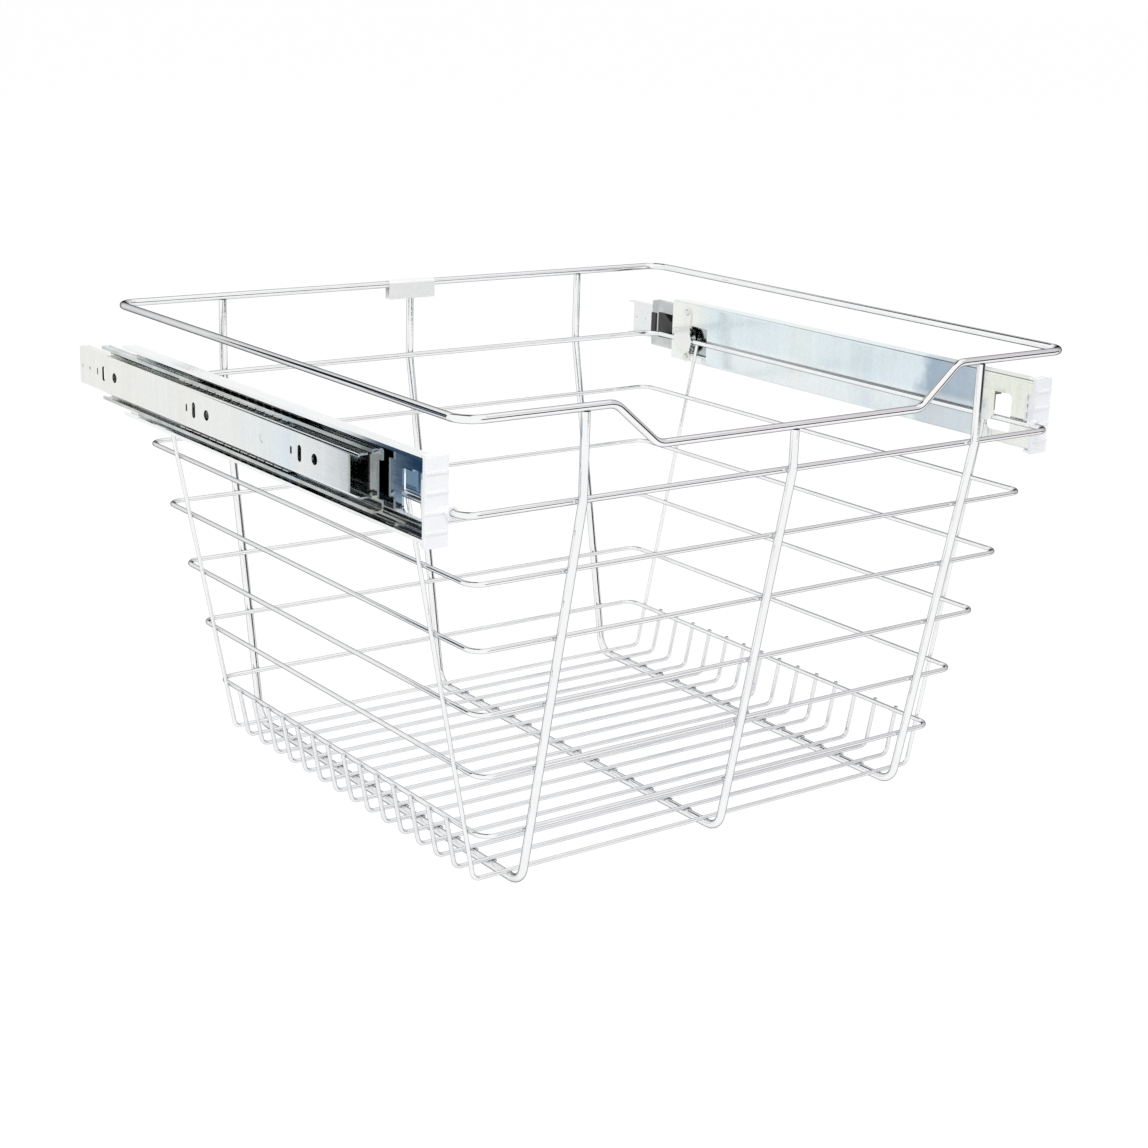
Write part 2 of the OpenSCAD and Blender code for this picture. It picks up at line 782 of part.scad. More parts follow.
top_rim();
rim_plate();
support_ring();
side_ring(1);  // side_ring_1
side_ring(2);  // side_ring_2
side_ring(3);  // side_ring_3
side_ring(4);  // side_ring_4
side_ring(5);  // side_ring_5
u_wire(-u_spacing);  // u_wire_left
u_wire(0, scoop_depth);  // u_wire_centre
u_wire(u_spacing);  // u_wire_right
tall_wire(-1);  // tall_wire_front
tall_wire(1);  // tall_wire_back
floor_wire(1);  // floor_wire_01
floor_wire(2);  // floor_wire_02
floor_wire(3);  // floor_wire_03
floor_wire(4);  // floor_wire_04
floor_wire(5);  // floor_wire_05
floor_wire(6);  // floor_wire_06
floor_wire(7);  // floor_wire_07
floor_wire(8);  // floor_wire_08
floor_wire(9);  // floor_wire_09
floor_wire(10);  // floor_wire_10
floor_wire(11);  // floor_wire_11
floor_wire(12);  // floor_wire_12
floor_wire(13);  // floor_wire_13
floor_wire(14);  // floor_wire_14
basket_channel(left);  // left_basket_channel
bumper(left);  // left_bumper
middle_member(left);  // left_middle_member
cabinet_rail(left);  // left_cabinet_rail
outer_cage(left);  // left_outer_cage
inner_cage(left);  // left_inner_cage
outer_balls(left);  // left_outer_balls
inner_balls(left);  // left_inner_balls
front_clip(left);  // left_front_clip
rear_saddle(left);  // left_rear_saddle
saddle_screws(left);  // left_saddle_screws
basket_channel(right);  // right_basket_channel
bumper(right);  // right_bumper
middle_member(right);  // right_middle_member
cabinet_rail(right);  // right_cabinet_rail
outer_cage(right);  // right_outer_cage
inner_cage(right);  // right_inner_cage
outer_balls(right);  // right_outer_balls
inner_balls(right);  // right_inner_balls
front_clip(right);  // right_front_clip
rear_saddle(right);  // right_rear_saddle
saddle_screws(right);  // right_saddle_screws
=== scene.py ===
"""Looks of the pull-out wire cabinet basket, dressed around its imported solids.

Lengths are in metres unless MM stands by them. X is right, Y runs into the
cabinet and Z is up. Noise scales are per metre, and colours are linear.
"""

import itertools
import json
import math
import random

import bmesh
import bpy
from mathutils import Matrix, Vector


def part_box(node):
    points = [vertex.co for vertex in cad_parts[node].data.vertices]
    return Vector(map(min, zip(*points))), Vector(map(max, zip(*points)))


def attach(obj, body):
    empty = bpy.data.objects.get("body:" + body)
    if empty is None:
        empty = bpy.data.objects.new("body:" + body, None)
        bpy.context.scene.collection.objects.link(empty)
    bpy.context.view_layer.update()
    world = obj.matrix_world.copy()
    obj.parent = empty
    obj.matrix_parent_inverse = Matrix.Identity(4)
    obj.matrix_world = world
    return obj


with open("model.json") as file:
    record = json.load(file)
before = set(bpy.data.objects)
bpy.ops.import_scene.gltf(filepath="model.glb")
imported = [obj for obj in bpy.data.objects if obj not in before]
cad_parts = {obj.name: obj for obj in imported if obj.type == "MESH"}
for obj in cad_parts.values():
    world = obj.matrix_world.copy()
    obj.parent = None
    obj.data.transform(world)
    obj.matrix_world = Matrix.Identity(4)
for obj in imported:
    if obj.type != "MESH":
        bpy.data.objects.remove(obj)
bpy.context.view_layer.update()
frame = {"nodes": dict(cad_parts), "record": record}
nodes = frame["nodes"]

MM = 0.001
X, Y, Z = range(3)
WHITE = (1, 1, 1)


def numbered(prefix):
    """The CAD nodes whose names start alike, in order."""
    return sorted(name for name in nodes if name.startswith(prefix))


RINGS = ["support_ring", *numbered("side_ring_")]
FLOOR_WIRES = numbered("floor_wire_")
U_WIRES = ["u_wire_left", "u_wire_centre", "u_wire_right"]

# The height of both slides' middle.
rail_low, rail_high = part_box("left_cabinet_rail")
SLIDE_MIDDLE = (rail_low.z + rail_high.z) / 2


def show(name, data):
    """A new object with this data, in the scene."""
    obj = bpy.data.objects.new(name, data)
    bpy.context.scene.collection.objects.link(obj)
    return obj


# ---------------------------------------------------------------- shader nodes

# Numbers of a colour mix node's sockets, whose names repeat.
MIX_SHARE, MIX_UNDER, MIX_OVER, MIX_RESULT = 0, 6, 7, 2


def principled(name):
    """A new material, its node tree and its Principled shader."""
    mat = bpy.data.materials.new(name)
    mat.use_nodes = True
    return mat, mat.node_tree, mat.node_tree.nodes["Principled BSDF"]


def bare_tree(holder):
    """The emptied node tree of a material or a world."""
    holder.use_nodes = True
    holder.node_tree.nodes.clear()
    return holder.node_tree


def feed(nt, node, inputs):
    """Links a node's inputs or sets their values, each found by its name or number."""
    for key, value in inputs.items():
        if isinstance(value, bpy.types.NodeSocket):
            nt.links.new(value, node.inputs[key])
        else:
            node.inputs[key].default_value = value


def add(nt, kind, inputs=None, **settings):
    """A new node with its settings, and with its inputs fed."""
    node = nt.nodes.new(kind)
    for key, value in settings.items():
        setattr(node, key, value)
    feed(nt, node, inputs or {})
    return node


def opaque(colour):
    """A colour with full alpha; a socket or a number stays as it is."""
    return (*colour, 1) if isinstance(colour, tuple) else colour


def place(nt, stretch=(1, 1, 1)):
    """The object's own coordinates, times a factor for each axis."""
    coords = add(nt, "ShaderNodeTexCoord").outputs["Object"]
    return add(nt, "ShaderNodeMapping", {"Vector": coords, "Scale": stretch}).outputs["Vector"]


def axes(nt, where):
    """The X, Y and Z of a place."""
    return add(nt, "ShaderNodeSeparateXYZ", {0: where}).outputs


def noise(nt, where, scale, detail=3.0, rough=0.55):
    """Soft random values around 0.5."""
    inputs = {"Vector": where, "Scale": scale, "Detail": detail, "Roughness": rough}
    return add(nt, "ShaderNodeTexNoise", inputs).outputs["Fac"]


def ramp(nt, fac, stops):
    """A colour ramp from (position, colour) stops; a plain number is a grey."""
    node = add(nt, "ShaderNodeValToRGB", {"Fac": fac})
    elements = node.color_ramp.elements
    while len(elements) < len(stops):
        elements.new(0.5)
    for element, (position, colour) in zip(elements, stops):
        if not isinstance(colour, tuple):
            colour = (colour, colour, colour)
        element.position = position
        element.color = opaque(colour)
    return node.outputs["Color"]


def mix(nt, share, under, over, blend="MIX"):
    """Two colours mixed: over takes its share, and under the rest."""
    inputs = {MIX_SHARE: share, MIX_UNDER: opaque(under), MIX_OVER: opaque(over)}
    return add(nt, "ShaderNodeMix", inputs, data_type="RGBA", blend_type=blend).outputs[MIX_RESULT]


def darken(nt, share, colour, film):
    """A colour seen through a film, as far as the film's share goes."""
    return mix(nt, share, colour, film, "MULTIPLY")


def bump(nt, height, distance, strength, under=None):
    """The normal of a bumpy surface, laid over another such normal if there is one."""
    inputs = {"Height": height, "Distance": distance, "Strength": strength}
    if under is not None:
        inputs["Normal"] = under
    return add(nt, "ShaderNodeBump", inputs).outputs["Normal"]


def calc(nt, operation, a, b=0.0):
    """One sum on one or two numbers or sockets."""
    return add(nt, "ShaderNodeMath", {0: a, 1: b}, operation=operation).outputs[0]


def fade(nt, value, start, end):
    """0 up to start and 1 from end on, smooth between; it falls where end is the lower."""
    inputs = {"Value": value, "From Min": start, "From Max": end}
    node = add(nt, "ShaderNodeMapRange", inputs, interpolation_type="SMOOTHSTEP")
    return node.outputs["Result"]


def window(nt, value, low, high, soft):
    """1 between low and high, fading out over soft on both sides of each."""
    rise = fade(nt, value, low - soft, low + soft)
    fall = fade(nt, value, high + soft, high - soft)
    return calc(nt, "MULTIPLY", rise, fall)


def emission(nt, colour, strength=1.0):
    """Plain light of a colour."""
    inputs = {"Color": opaque(colour), "Strength": strength}
    return add(nt, "ShaderNodeEmission", inputs).outputs[0]


def diffuse(nt, grey):
    """A matt grey surface."""
    return add(nt, "ShaderNodeBsdfDiffuse", {"Color": (grey, grey, grey, 1)}).outputs[0]


def mix_shaders(nt, share, under, over):
    """Two shaders mixed: over takes its share, and under the rest."""
    return add(nt, "ShaderNodeMixShader", {0: share, 1: under, 2: over}).outputs[0]


# ---------------------------------------------------------------- materials

# The colour that bright plate mirrors where it turns away: it draws the fine
# dark lines along the edges of a wire.
CHROME_EDGE = (0, 0, 0.01, 1)

# Zones lie on a ramp of this length along Y, half of it on each side of Y = 0.
ZONE_LENGTH = 0.5
# How far the zones' borders sway, as a share of that length.
ZONE_SWAY = 0.12
# The soft edge of the heights between which the zones are in full.
ZONE_EDGE = 3 * MM
# Heights in mm from the slide's middle that take in the whole slide.
WHOLE_SLIDE = (-50, 50)


def chrome(name, tint, dull=0.0):
    """Bright plate on drawn wire: a mirror with ripples, fine spots and a little haze."""
    mat, nt, bsdf = principled(name)
    whole = place(nt)
    haze = noise(nt, whole, scale=60, detail=4)
    spots = noise(nt, whole, scale=900, detail=2)
    hazy_tint = tuple(0.95 * channel for channel in tint)
    dullness = mix(nt, 0.35, haze, spots)
    ripple = bump(nt, noise(nt, whole, scale=260, detail=2), distance=0.04 * MM, strength=0.6)
    feed(nt, bsdf, {
        "Metallic": 1.0,
        "Specular Tint": CHROME_EDGE,
        "Base Color": ramp(nt, haze, [(0.3, hazy_tint), (0.7, tint)]),
        "Roughness": ramp(nt, dullness, [(0.35, 0.03 + dull), (0.7, 0.08 + dull)]),
        "Normal": bump(nt, spots, distance=0.01 * MM, strength=0.5, under=ripple),
    })
    return mat


def painted_reflection_zones(nt, zones, span, rest):
    """Streaky painted reflections on a plate along Y, from (y in mm, colour) stops: bands of darker
    and paler colour that stand in for what the plate mirrors.

    They are in full between the two heights of span, which are in mm from the
    slide's middle, and by the share rest above and below."""
    here = axes(nt, place(nt))
    along = calc(nt, "ADD", calc(nt, "MULTIPLY", here["Y"], 1 / ZONE_LENGTH), 0.5)
    swing = calc(nt, "SUBTRACT", noise(nt, place(nt), scale=30), 0.5)
    swayed = calc(nt, "ADD", along, calc(nt, "MULTIPLY", swing, ZONE_SWAY))
    stops = [(0.5 + y * MM / ZONE_LENGTH, colour) for y, colour in zones]
    streaks = noise(nt, place(nt, (1, 1, 0.06)), scale=95, detail=3, rough=0.6)
    streaks = ramp(nt, streaks, [(0.35, 0.95), (0.62, 1.0)])
    # Painted reflections: the zone colours, streaked, darken and tint the plate where it would
    # mirror its surroundings.
    tints = darken(nt, 1.0, ramp(nt, swayed, stops), streaks)
    low, high = (SLIDE_MIDDLE + height * MM for height in span)
    outside = calc(nt, "SUBTRACT", 1.0, window(nt, here["Z"], low, high, ZONE_EDGE))
    return mix(nt, calc(nt, "MULTIPLY", outside, 1.0 - rest), tints, WHITE)


def zinc(name, base, cool, warm, rough=0.10, metal=1.0, line_depth=0.25, grease=0.0,
         zones=None, span=WHOLE_SLIDE, rest=0.0):
    """Zinc plate on rolled steel: cool and warm tints in clouds, and rolling lines along Y.

    A metal below 1 is a paler and weaker mirror. zones, span and rest are those of the function
    that paints reflections along Y."""
    mat, nt, bsdf = principled(name)
    whole = place(nt)
    clouds = noise(nt, place(nt, (0.2, 1, 0.12)), scale=26, detail=4, rough=0.6)
    tinted = ramp(nt, clouds, [(0.3, warm), (0.47, base), (0.55, base), (0.72, cool)])
    lines = noise(nt, place(nt, (1, 0.03, 1)), scale=1700, detail=3, rough=0.6)
    tinted = darken(nt, line_depth, tinted, ramp(nt, lines, [(0.25, 0.72), (0.75, 1.0)]))
    if zones:
        # Painted reflection bands laid into the plate's colour.
        tinted = darken(nt, 1.0, tinted, painted_reflection_zones(nt, zones, span, rest))
    speckle = noise(nt, whole, scale=420, detail=3, rough=0.6)
    tinted = darken(nt, 1.0, tinted, ramp(nt, speckle, [(0.38, 0.965), (0.58, 1.0)]))
    if grease:
        smut = noise(nt, whole, scale=38, detail=6, rough=0.65)
        smut = ramp(nt, smut, [(0.35, (0.16, 0.15, 0.13)), (0.6, (0.75, 0.76, 0.74))])
        tinted = darken(nt, grease, tinted, smut)
    dullness = mix(nt, 0.5, lines, clouds)
    scratches = bump(nt, lines, distance=0.02 * MM, strength=0.4)
    dents = noise(nt, whole, scale=140, detail=3)
    feed(nt, bsdf, {
        "Metallic": metal,
        "Base Color": tinted,
        "Roughness": ramp(nt, dullness, [(0.3, rough - 0.05), (0.7, rough + 0.06)]),
        "Normal": bump(nt, dents, distance=0.05 * MM, strength=0.3, under=scratches),
    })
    return mat


def shaded_greased_balls(name):
    """Balls with painted shade: a near-black base for bright steel balls in their shaded holes,
    under a patchy film of grease.
    """
    mat, nt, bsdf = principled(name)
    film = noise(nt, place(nt), scale=500, detail=3)
    feed(nt, bsdf, {
        "Metallic": 1.0,
        # Painted shade: near-black colours for the steel balls; the film varies tone and gloss.
        "Base Color": ramp(nt, film, [(0.35, (0.05, 0.05, 0.045)), (0.6, (0.16, 0.16, 0.17))]),
        "Roughness": ramp(nt, film, [(0.35, 0.22), (0.65, 0.06)]),
    })
    return mat


def plastic(name, dark, light, rough, grain_scale, through=0.0):
    """Moulded plastic with flow marks and a fine mould grain; through is the light it lets in."""
    mat, nt, bsdf = principled(name)
    flow = noise(nt, place(nt, (1, 1, 0.3)), scale=90, detail=4)
    grain = noise(nt, place(nt), scale=grain_scale, detail=2)
    feed(nt, bsdf, {
        "Base Color": ramp(nt, flow, [(0.3, dark), (0.7, light)]),
        "Roughness": ramp(nt, grain, [(0.3, rough - 0.06), (0.7, rough + 0.08)]),
        "Normal": bump(nt, grain, distance=0.03 * MM, strength=0.5),
        "Subsurface Weight": through,
        "Subsurface Radius": (4 * MM, 4 * MM, 5 * MM),
        "Subsurface Scale": 0.6,
    })
    return mat


# Painted reflections along a plate, as (y in mm at rest, colour): the darker, bluer bands and the
# paler ones copy what the plate mirrors there, not the zinc's own tint.
RIGHT_CHANNEL_REFLECTIONS = [
    (-195, (0.97, 0.97, 0.88)),
    (-160, (0.98, 0.98, 0.90)),
    (-147, (0.55, 0.63, 0.71)),
    (-108, (0.42, 0.51, 0.61)),
    (-96, (0.84, 0.92, 0.97)),
    (0, (0.87, 0.94, 0.98)),
    (105, (0.86, 0.94, 0.97)),
    (130, (1.0, 1.0, 0.94)),
]
LEFT_CHANNEL_REFLECTIONS = [
    (-175, (0.42, 0.54, 0.66)),
    (-115, (0.50, 0.60, 0.70)),
    (-95, (0.97, 0.98, 1.0)),
]
LEFT_RAIL_REFLECTIONS = [
    (-150, (0.80, 0.86, 0.92)),
    (-110, (0.97, 0.98, 1.0)),
    (-30, (0.95, 0.98, 1.0)),
    (60, (1.0, 0.99, 0.97)),
]

LOOKS = {
    "bright_wire": chrome("bright_wire_look", tint=(0.95, 0.955, 0.96)),
    # The floor wires are the same chrome as the bright wires with painted shade: a darker, greyer
    # tint.
    "floor_wire": chrome("floor_wire_shaded_look", tint=(0.88, 0.89, 0.91)),
    "weld": chrome("weld_look", tint=(0.70, 0.71, 0.74), dull=0.14),
    "bright_plate": zinc(
        "bright_plate_look", rough=0.34, metal=0.35,
        base=(0.97, 0.97, 0.96), cool=(0.92, 0.94, 0.96), warm=(0.94, 0.95, 0.90)),
    "zinc_plate": zinc(
        "zinc_plate_look",
        base=(0.84, 0.87, 0.87), cool=(0.72, 0.83, 0.89), warm=(0.86, 0.86, 0.78)),
    "zinc_middle": zinc(
        "zinc_middle_look", rough=0.14, grease=0.5,
        base=(0.74, 0.78, 0.79), cool=(0.52, 0.66, 0.76), warm=(0.72, 0.72, 0.64)),
    "zinc_saddle": zinc(
        "zinc_saddle_look", rough=0.14,
        base=(0.88, 0.89, 0.87), cool=(0.80, 0.85, 0.88), warm=(0.86, 0.85, 0.74)),
    "screw_steel": zinc(
        "screw_steel_look", rough=0.2,
        base=(0.80, 0.82, 0.80), cool=(0.72, 0.80, 0.86), warm=(0.84, 0.81, 0.66)),
    "cage_steel": zinc(
        "cage_steel_look", rough=0.38, metal=0.4,
        base=(0.96, 0.96, 0.95), cool=(0.88, 0.90, 0.92), warm=(0.94, 0.93, 0.88)),
    # Near-black steel, much darker than the inner cages, with patches of grease on top.
    "greased_steel": zinc(
        "dark_greased_steel_look", rough=0.3, grease=0.6,
        base=(0.20, 0.20, 0.20), cool=(0.12, 0.13, 0.14), warm=(0.22, 0.21, 0.18)),
    "ball_steel": shaded_greased_balls("ball_steel_look"),
    "clip_plastic": plastic(
        "clip_plastic_look", rough=0.30, grain_scale=1400, through=0.25,
        dark=(0.93, 0.945, 0.995), light=(0.965, 0.97, 1.0)),
    "black_plastic": plastic(
        "black_plastic_look", rough=0.42, grain_scale=1800,
        dark=(0.018, 0.018, 0.02), light=(0.035, 0.035, 0.038)),
}

# Nodes that don't look like the rest of their material slot.
OWN_LOOKS = {
    # The two channels and the left rail carry painted reflections along Y.
    "right_basket_channel": zinc(
        "zinc_right_channel_look", rough=0.12, line_depth=0.08,
        base=(0.90, 0.93, 0.93), cool=(0.84, 0.91, 0.95), warm=(0.92, 0.92, 0.88),
        zones=RIGHT_CHANNEL_REFLECTIONS, span=(-0.45, 23.55), rest=0.5),
    "left_basket_channel": zinc(
        "zinc_left_channel_look", rough=0.09, line_depth=0.10,
        base=(0.90, 0.92, 0.92), cool=(0.84, 0.90, 0.94), warm=(0.91, 0.91, 0.87),
        zones=LEFT_CHANNEL_REFLECTIONS, span=(-14.45, 20.05)),
    "left_cabinet_rail": zinc(
        "zinc_left_rail_look", rough=0.15, line_depth=0.08,
        base=(0.86, 0.88, 0.87), cool=(0.80, 0.87, 0.91), warm=(0.88, 0.88, 0.84),
        zones=LEFT_RAIL_REFLECTIONS),
}
for floor_wire in FLOOR_WIRES:
    OWN_LOOKS[floor_wire] = LOOKS["floor_wire"]
# The outer cages and balls take this near-black steel with grease patches.
for greased in ("left_outer_cage", "left_outer_balls", "right_outer_cage", "right_outer_balls"):
    OWN_LOOKS[greased] = LOOKS["greased_steel"]

for part in frame["record"]["subparts"]:
    look = OWN_LOOKS.get(part["node"], LOOKS[part["material_slot"]])
    for slot in nodes[part["node"]].material_slots:
        slot.material = look


# ---------------------------------------------------------------- welds

# Where a plane cuts a wire there are more points than this, all within CUT_REACH.
CUT_POINTS = 5
CUT_REACH = 12 * MM

RING_BEAD = (1.2 * MM, 1.3 * MM, 1.2 * MM)
RING_BEAD_OFFSET = 1.7 * MM
# How far from the upright's centre a ring's bead may lie.
RING_BEAD_REACH = 2.2 * MM

FLOOR_BEAD = (1.9 * MM, 1.3 * MM, 0.8 * MM)
FLOOR_BEAD_OFFSETS = [(-1.6 * MM, 1.2 * MM), (1.6 * MM, -1.2 * MM), (1.4 * MM, 1.4 * MM)]
# Wires cut below this height are in the basket's floor.
FLOOR_TOP = 20 * MM

# A bead's random turns in radians, its growth, and the lumps on it.
BEAD_TURN, BEAD_TILT = 0.4, 0.3
BEAD_GROWTH = (0.85, 1.15)
LUMPS = 5
LUMP_HEIGHT = 0.08


def section_centres(node, axis, at):
    """Centres of a wire's cuts by the plane that crosses the axis at this place."""
    normal = Vector((0, 0, 0))
    normal[axis] = 1
    bm = bmesh.new()
    bm.from_mesh(nodes[node].data)
    everything = bm.verts[:] + bm.edges[:] + bm.faces[:]
    cut = bmesh.ops.bisect_plane(bm, geom=everything, plane_co=normal * at, plane_no=normal)
    points = [v.co.copy() for v in cut["geom_cut"] if isinstance(v, bmesh.types.BMVert)]
    bm.free()
    groups = []
    for point in points:
        for group in groups:
            if (group[0] - point).length < CUT_REACH:
                group.append(point)
                break
        else:
            groups.append([point])
    return [sum(group, Vector()) / len(group) for group in groups if len(group) > CUT_POINTS]


def bead(bm, centre, size, seed):
    """A lumpy drop of melted wire, its unevenness set by the seed alone."""
    rng = random.Random(seed)
    turn = Matrix.Rotation(rng.uniform(-BEAD_TURN, BEAD_TURN), 4, "Z")
    tilt = Matrix.Rotation(rng.uniform(-BEAD_TILT, BEAD_TILT), 4, "X")
    grown = [half * rng.uniform(*BEAD_GROWTH) for half in size]
    put = Matrix.Translation(centre) @ turn @ tilt @ Matrix.Diagonal((*grown, 1))
    ways = [Vector([rng.uniform(-1, 1) for _ in range(3)]) for _ in range(LUMPS)]
    for vert in bmesh.ops.create_icosphere(bm, subdivisions=2, radius=1.0)["verts"]:
        swell = sum(math.sin(3 * vert.co.dot(way) + i) for i, way in enumerate(ways))
        vert.co = put @ (vert.co * (1 + LUMP_HEIGHT * swell))


def ring_welds(bm, seeds):
    """Two beads wherever a ring crosses an upright of a U wire."""
    for ring in RINGS:
        low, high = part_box(ring)
        level, radius = (low.z + high.z) / 2, (high.z - low.z) / 2
        for u_wire in U_WIRES:
            for upright in section_centres(u_wire, Z, level):
                ring_y = high.y - radius if upright.y > 0 else low.y + radius
                across = Vector((upright.x, ring_y, level)) - upright
                spot = upright + across.normalized() * min(RING_BEAD_REACH, across.length / 2)
                for offset in (-RING_BEAD_OFFSET, RING_BEAD_OFFSET):
                    bead(bm, spot + Vector((offset, 0, 0)), RING_BEAD, next(seeds))


def floor_welds(bm, seeds):
    """Three beads wherever a floor wire crosses a U wire."""
    for floor_wire in FLOOR_WIRES:
        low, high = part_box(floor_wire)
        y = (low.y + high.y) / 2
        for u_wire in U_WIRES:
            u_low, u_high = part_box(u_wire)
            x = (u_low.x + u_high.x) / 2
            below = [c for c in section_centres(u_wire, Y, y) if c.z < FLOOR_TOP]
            above = [c for c in section_centres(floor_wire, X, x) if c.z < FLOOR_TOP]
            if not below or not above:
                continue
            z = (below[0].z + above[0].z) / 2
            for dx, dy in FLOOR_BEAD_OFFSETS:
                bead(bm, Vector((x + dx, y + dy, z)), FLOOR_BEAD, next(seeds))


def weld_beads():
    """Melted metal where the rings and the floor wires are welded to the U wires."""
    bm = bmesh.new()
    seeds = itertools.count(1)
    ring_welds(bm, seeds)
    floor_welds(bm, seeds)
    mesh = bpy.data.meshes.new("weld_beads")
    bm.to_mesh(mesh)
    bm.free()
    for face in mesh.polygons:
        face.use_smooth = True
    mesh.materials.append(LOOKS["weld"])
    beads = show("weld_beads", mesh)
    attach(beads, "basket")


weld_beads()


# ---------------------------------------------------------------- studio

# The light on the object is the same from all round. What cameras and mirrors
# see is a white studio, and three things in it show in mirrors alone: a dark gap
# high up on the far side, a pale grey wall on the right, and a dark stretch low
# down from the right round to the front, which is partly wall and partly floor.
# Bearings are degrees from +Y towards +X, and heights are those of a unit sky. An
# edge is how far something fades out on both sides of its border.
DAYLIGHT = 0.63

GAP_BEARINGS, GAP_EDGE = (-22, 40), 8
GAP_RISE = (0.64, 0.71)
GAP_SHADE = (0.03, 0.03, 0.04)

WALL_BEARINGS, WALL_EDGE = (48, 142), 6
WALL_HEIGHTS, WALL_HEIGHT_EDGE = (0.16, 0.74), 0.03
WALL_SHADE = (0.74, 0.70, 0.725)

STRETCH_BEARINGS, STRETCH_EDGE = (104, 170), 6
STRETCH_FALL = (0.17, 0.13)
STRETCH_START = (1.3, 1.6)
STRETCH_SHADE = (0.04, 0.04, 0.05)

# Half the floor's side, and its height just under the basket's lowest wires.
FLOOR_REACH = 30.0
FLOOR_Z = -0.6 * MM
# Greys of the floor that the object and the camera see, and the camera's lift to white.
FLOOR_BOUNCE, FLOOR_SEEN, FLOOR_LIFT = 0.86, 0.15, 0.90

LIGHT_AIM = Vector((0, 0, 0.14))
CARD_EDGE = 14 * MM


def seen_by(nt, *rays):
    """1 for these kinds of ray, 0 for the rest."""
    path = add(nt, "ShaderNodeLightPath").outputs
    total = path[rays[0]]
    for ray in rays[1:]:
        total = calc(nt, "MAXIMUM", total, path[ray])
    return total


def bearing(nt, way):
    """The bearing of a direction or a place."""
    return calc(nt, "DEGREES", calc(nt, "ARCTAN2", way["X"], way["Y"]))


def dark_stretch(nt, turn):
    """1 at the bearings of the dark stretch."""
    return window(nt, turn, *STRETCH_BEARINGS, STRETCH_EDGE)


def background(nt, colour, strength):
    """A world's light."""
    inputs = {"Color": opaque(colour), "Strength": strength}
    return add(nt, "ShaderNodeBackground", inputs).outputs[0]


def studio_walls():
    """The world: even light on the object, and the walls that cameras and mirrors see."""
    world = bpy.data.worlds.new("studio")
    bpy.context.scene.world = world
    nt = bare_tree(world)
    sky = axes(nt, add(nt, "ShaderNodeTexCoord").outputs["Generated"])
    turn = bearing(nt, sky)
    wall = calc(nt, "MULTIPLY", window(nt, turn, *WALL_BEARINGS, WALL_EDGE),
                window(nt, sky["Z"], *WALL_HEIGHTS, WALL_HEIGHT_EDGE))
    gap = calc(nt, "MULTIPLY", window(nt, turn, *GAP_BEARINGS, GAP_EDGE),
               fade(nt, sky["Z"], *GAP_RISE))
    stretch = calc(nt, "MULTIPLY", dark_stretch(nt, turn), fade(nt, sky["Z"], *STRETCH_FALL))
    walls = mix(nt, wall, WHITE, WALL_SHADE)
    walls = mix(nt, gap, walls, GAP_SHADE)
    walls = mix(nt, stretch, walls, STRETCH_SHADE)
    walls = mix(nt, seen_by(nt, "Is Camera Ray"), walls, WHITE)
    seen = seen_by(nt, "Is Camera Ray", "Is Glossy Ray", "Is Transmission Ray")
    surface = mix_shaders(nt, seen, background(nt, WHITE, DAYLIGHT), background(nt, walls, 1.0))
    add(nt, "ShaderNodeOutputWorld", {"Surface": surface})


def floor_look():
    """A pale floor that keeps the object's shadow; in mirrors it is the studio's white."""
    mat = bpy.data.materials.new("floor_pale")
    nt = bare_tree(mat)
    ground = place(nt)
    distance = add(nt, "ShaderNodeVectorMath", {0: ground}, operation="LENGTH").outputs["Value"]
    stretch = calc(nt, "MULTIPLY", dark_stretch(nt, bearing(nt, axes(nt, ground))),
                   fade(nt, distance, *STRETCH_START))
    mirrored = emission(nt, mix(nt, stretch, WHITE, STRETCH_SHADE))
    lifted = add(nt, "ShaderNodeAddShader", {
        0: diffuse(nt, FLOOR_SEEN), 1: emission(nt, WHITE, FLOOR_LIFT)}).outputs[0]
    surface = mix_shaders(nt, seen_by(nt, "Is Camera Ray"), diffuse(nt, FLOOR_BOUNCE), lifted)
    in_mirrors = seen_by(nt, "Is Glossy Ray", "Is Transmission Ray")
    surface = mix_shaders(nt, in_mirrors, surface, mirrored)
    add(nt, "ShaderNodeOutputMaterial", {"Surface": surface})
    return mat


def sheet(name, corners, mat):
    """A flat stage sheet between its four corners."""
    mesh = bpy.data.meshes.new(name)
    mesh.from_pydata(corners, [], [(0, 1, 2, 3)])
    mesh.materials.append(mat)
    obj = show(name, mesh)
    return obj


def studio_floor():
    """The floor under the basket."""
    corners = [(x * FLOOR_REACH, y * FLOOR_REACH, FLOOR_Z)
               for x, y in ((-1, -1), (1, -1), (1, 1), (-1, 1))]
    sheet("floor", corners, floor_look())


def area_light(name, where, size, power):
    """A soft square light that shines on the object and doesn't show in it."""
    data = bpy.data.lights.new(name, "AREA")
    data.shape, data.size, data.energy = "SQUARE", size, power
    light = show(name, data)
    light.location = where
    light.rotation_mode = "QUATERNION"
    light.rotation_quaternion = (LIGHT_AIM - Vector(where)).to_track_quat("-Z", "Y")
    light.visible_glossy = False


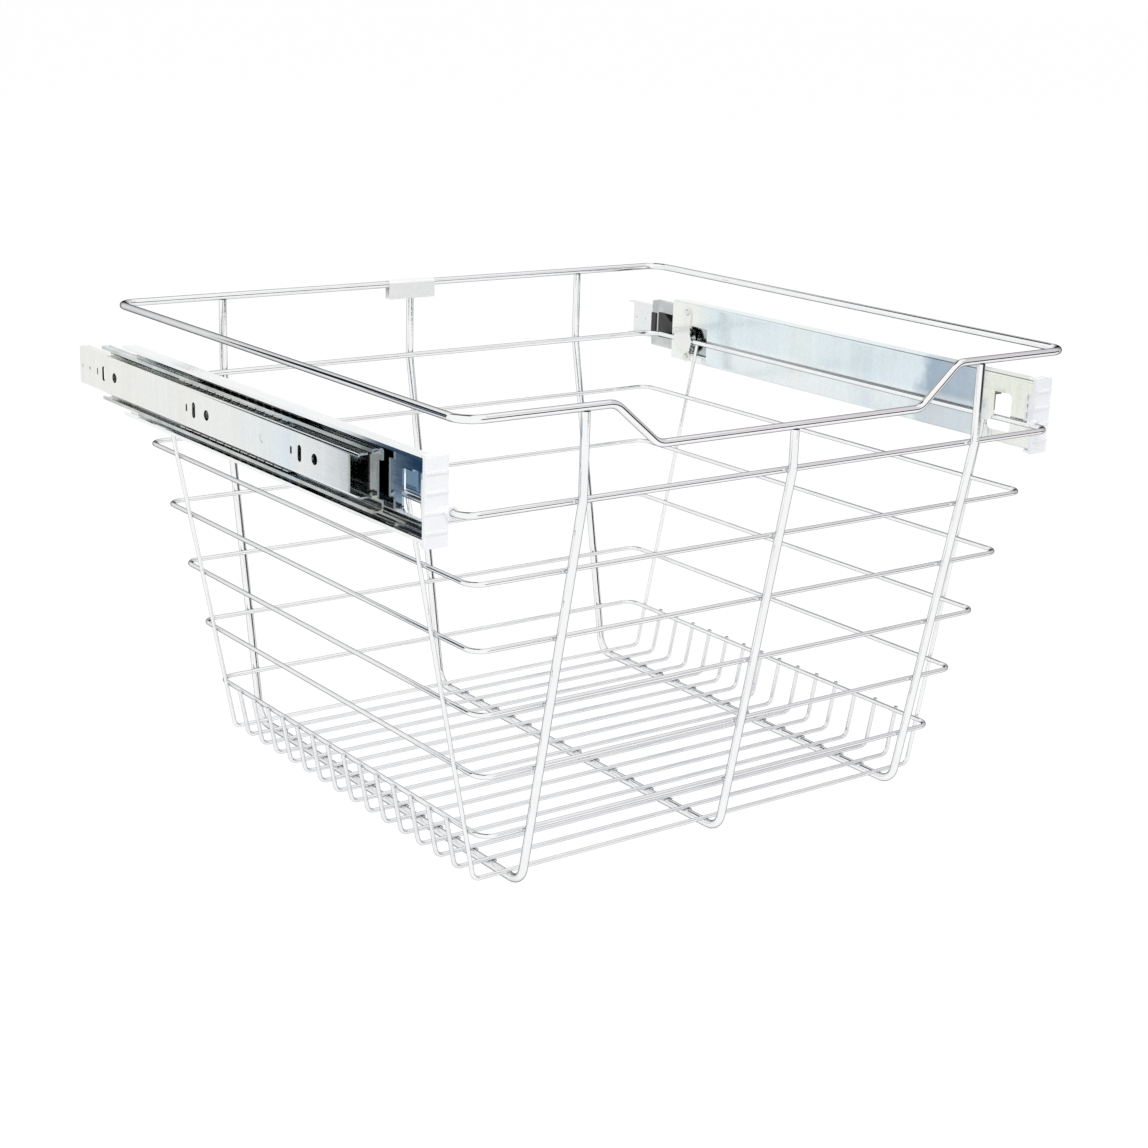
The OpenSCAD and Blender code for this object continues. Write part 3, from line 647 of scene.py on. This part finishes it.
def card(name, y, sides, heights, shade):
    """An upright card across Y, with soft edges, that only mirrors show."""
    mat = bpy.data.materials.new(name)
    nt = bare_tree(mat)
    here = axes(nt, place(nt))
    solid = calc(nt, "MULTIPLY", window(nt, here["X"], *sides, CARD_EDGE),
                 window(nt, here["Z"], *heights, CARD_EDGE))
    clear = add(nt, "ShaderNodeBsdfTransparent").outputs[0]
    surface = mix_shaders(nt, solid, clear, emission(nt, shade))
    add(nt, "ShaderNodeOutputMaterial", {"Surface": surface})
    left, right = sides[0] - CARD_EDGE, sides[1] + CARD_EDGE
    bottom, top = heights[0] - CARD_EDGE, heights[1] + CARD_EDGE
    obj = sheet(name, [(left, y, bottom), (right, y, bottom), (right, y, top), (left, y, top)], mat)
    for rays in ("camera", "diffuse", "shadow", "transmission"):
        setattr(obj, f"visible_{rays}", False)


studio_walls()
studio_floor()
area_light("key", (-1.2, -1.3, 2.2), size=1.6, power=30)
area_light("fill", (1.8, -0.6, 1.6), size=1.8, power=14)

# Both cards stand off the rear of the left slide, where the front of the left
# channel mirrors the blue one; the dark one hangs above it.
card("card_blue", y=0.189, sides=(-0.602, -0.418), heights=(0.125, 0.27), shade=(0.03, 0.07, 0.13))
card("card_dark", y=0.190, sides=(-0.60, -0.30), heights=(0.285, 0.46), shade=(0.012, 0.014, 0.022))


# ---------------------------------------------------------------- camera

CAMERA_PLACE = (-0.7624, -1.04335, 0.4945)
AZIMUTH, ELEVATION, ROLL = (math.radians(a) for a in (-36.63, 16.21, 1.83))
FOCAL_PIXELS, IMAGE_PIXELS, CENTRE_PIXEL = 2075.17, 1148.0, (573.6, 573.8)
SENSOR_MM = 36.0
NEAREST, FARTHEST = 0.05, 100


def photo_camera():
    """The camera at the photograph's place, angle and framing."""
    data = bpy.data.cameras.new("camera")
    camera = show("camera", data)
    bpy.context.scene.camera = camera
    data.sensor_width = SENSOR_MM
    data.sensor_fit = "HORIZONTAL"
    data.lens = FOCAL_PIXELS / IMAGE_PIXELS * SENSOR_MM
    data.shift_x = (IMAGE_PIXELS / 2 - CENTRE_PIXEL[0]) / IMAGE_PIXELS
    data.shift_y = (CENTRE_PIXEL[1] - IMAGE_PIXELS / 2) / IMAGE_PIXELS
    data.clip_start, data.clip_end = NEAREST, FARTHEST
    back = Vector((math.sin(AZIMUTH) * math.cos(ELEVATION),
                   -math.cos(AZIMUTH) * math.cos(ELEVATION),
                   math.sin(ELEVATION)))
    right = (-back).cross(Vector((0, 0, 1))).normalized()
    up = right.cross(-back).normalized()
    rolled_right = right * math.cos(ROLL) + up * math.sin(ROLL)
    rolled_up = up * math.cos(ROLL) - right * math.sin(ROLL)
    turned = Matrix((rolled_right, rolled_up, back)).transposed()
    camera.matrix_world = Matrix.Translation(CAMERA_PLACE) @ turned.to_4x4()


photo_camera()

bpy.context.scene.view_settings.view_transform = "Standard"
